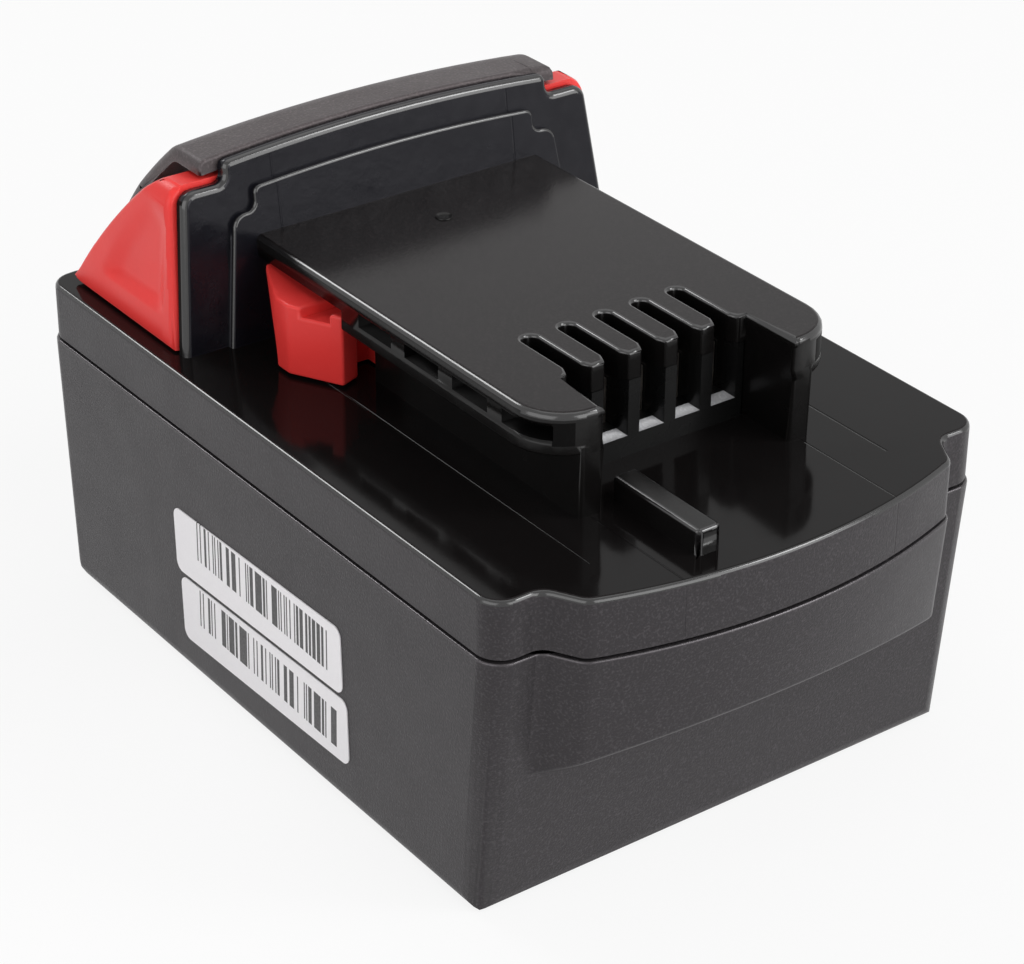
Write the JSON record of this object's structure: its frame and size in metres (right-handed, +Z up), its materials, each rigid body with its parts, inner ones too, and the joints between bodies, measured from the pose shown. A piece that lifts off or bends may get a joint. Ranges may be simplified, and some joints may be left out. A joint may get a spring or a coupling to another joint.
{
  "type": "power tool battery pack",
  "caption": "Slide-on power tool battery pack with a raised contact tower, side rails and a red sprung release latch on each side of its rear hump.",
  "frame": {"origin": "centre of the bounding box on the base plane", "axes": "+Z up, -Y towards the contact end that enters the tool first, +X to the right of someone facing the contact end from behind the pack"},
  "size_m": [0.0811, 0.1223, 0.076],
  "materials": {
    "case_plastic": "fine texture",
    "deck_plastic": "satin to gloss",
    "cover_plastic": "matte",
    "latch_plastic": "satin",
    "block_plastic": "satin",
    "spring_steel": "bright",
    "contact_brass": "plated",
    "board": "lacquered",
    "chip": "matte",
    "cell_wrap": "shrink wrap",
    "holder_plastic": "matte",
    "nickel": "rolled",
    "fish_paper": "plain",
    "screw_steel": "zinc",
    "label_paper": "coated"
  },
  "bodies": {
    "pack": {"lower_case": "case_plastic", "upper_case": "deck_plastic", "rear_cover": "cover_plastic", "left_latch_spring": "spring_steel", "right_latch_spring": "spring_steel", "terminal_block": "block_plastic", "contact_clip_1": "contact_brass", "contact_clip_2": "contact_brass", "contact_clip_3": "contact_brass", "contact_clip_4": "contact_brass", "contact_clip_5": "contact_brass", "circuit_board": "board", "power_transistors": "chip", "control_chip": "chip", "current_shunt": "nickel", "thermistor": "chip", "cell_1": "cell_wrap", "cell_2": "cell_wrap", "cell_3": "cell_wrap", "cell_4": "cell_wrap", "cell_5": "cell_wrap", "cell_6": "cell_wrap", "cell_7": "cell_wrap", "cell_8": "cell_wrap", "cell_9": "cell_wrap", "cell_10": "cell_wrap", "left_cell_holder": "holder_plastic", "right_cell_holder": "holder_plastic", "negative_strip": "nickel", "link_strip_1": "nickel", "link_strip_2": "nickel", "link_strip_3": "nickel", "link_strip_4": "nickel", "positive_strip": "nickel", "left_insulator": "fish_paper", "right_insulator": "fish_paper", "case_screws": "screw_steel", "cover_screws": "screw_steel", "board_screws": "screw_steel", "upper_label": "label_paper", "lower_label": "label_paper"},
    "left_latch": {"left_latch": "latch_plastic"},
    "right_latch": {"right_latch": "latch_plastic"}
  },
  "joints": [
    {"name": "left_latch_press", "type": "slide", "parent": "pack", "child": "left_latch", "axis": [1, 0, 0], "range_m": [0, 0.004], "stiffness_N_per_m": 1500, "springref_m": -0.002, "deforming": ["left_latch_spring"]},
    {"name": "right_latch_press", "type": "slide", "parent": "pack", "child": "right_latch", "axis": [-1, 0, 0], "range_m": [0, 0.004], "stiffness_N_per_m": 1500, "springref_m": -0.002, "deforming": ["right_latch_spring"]}
  ]
}
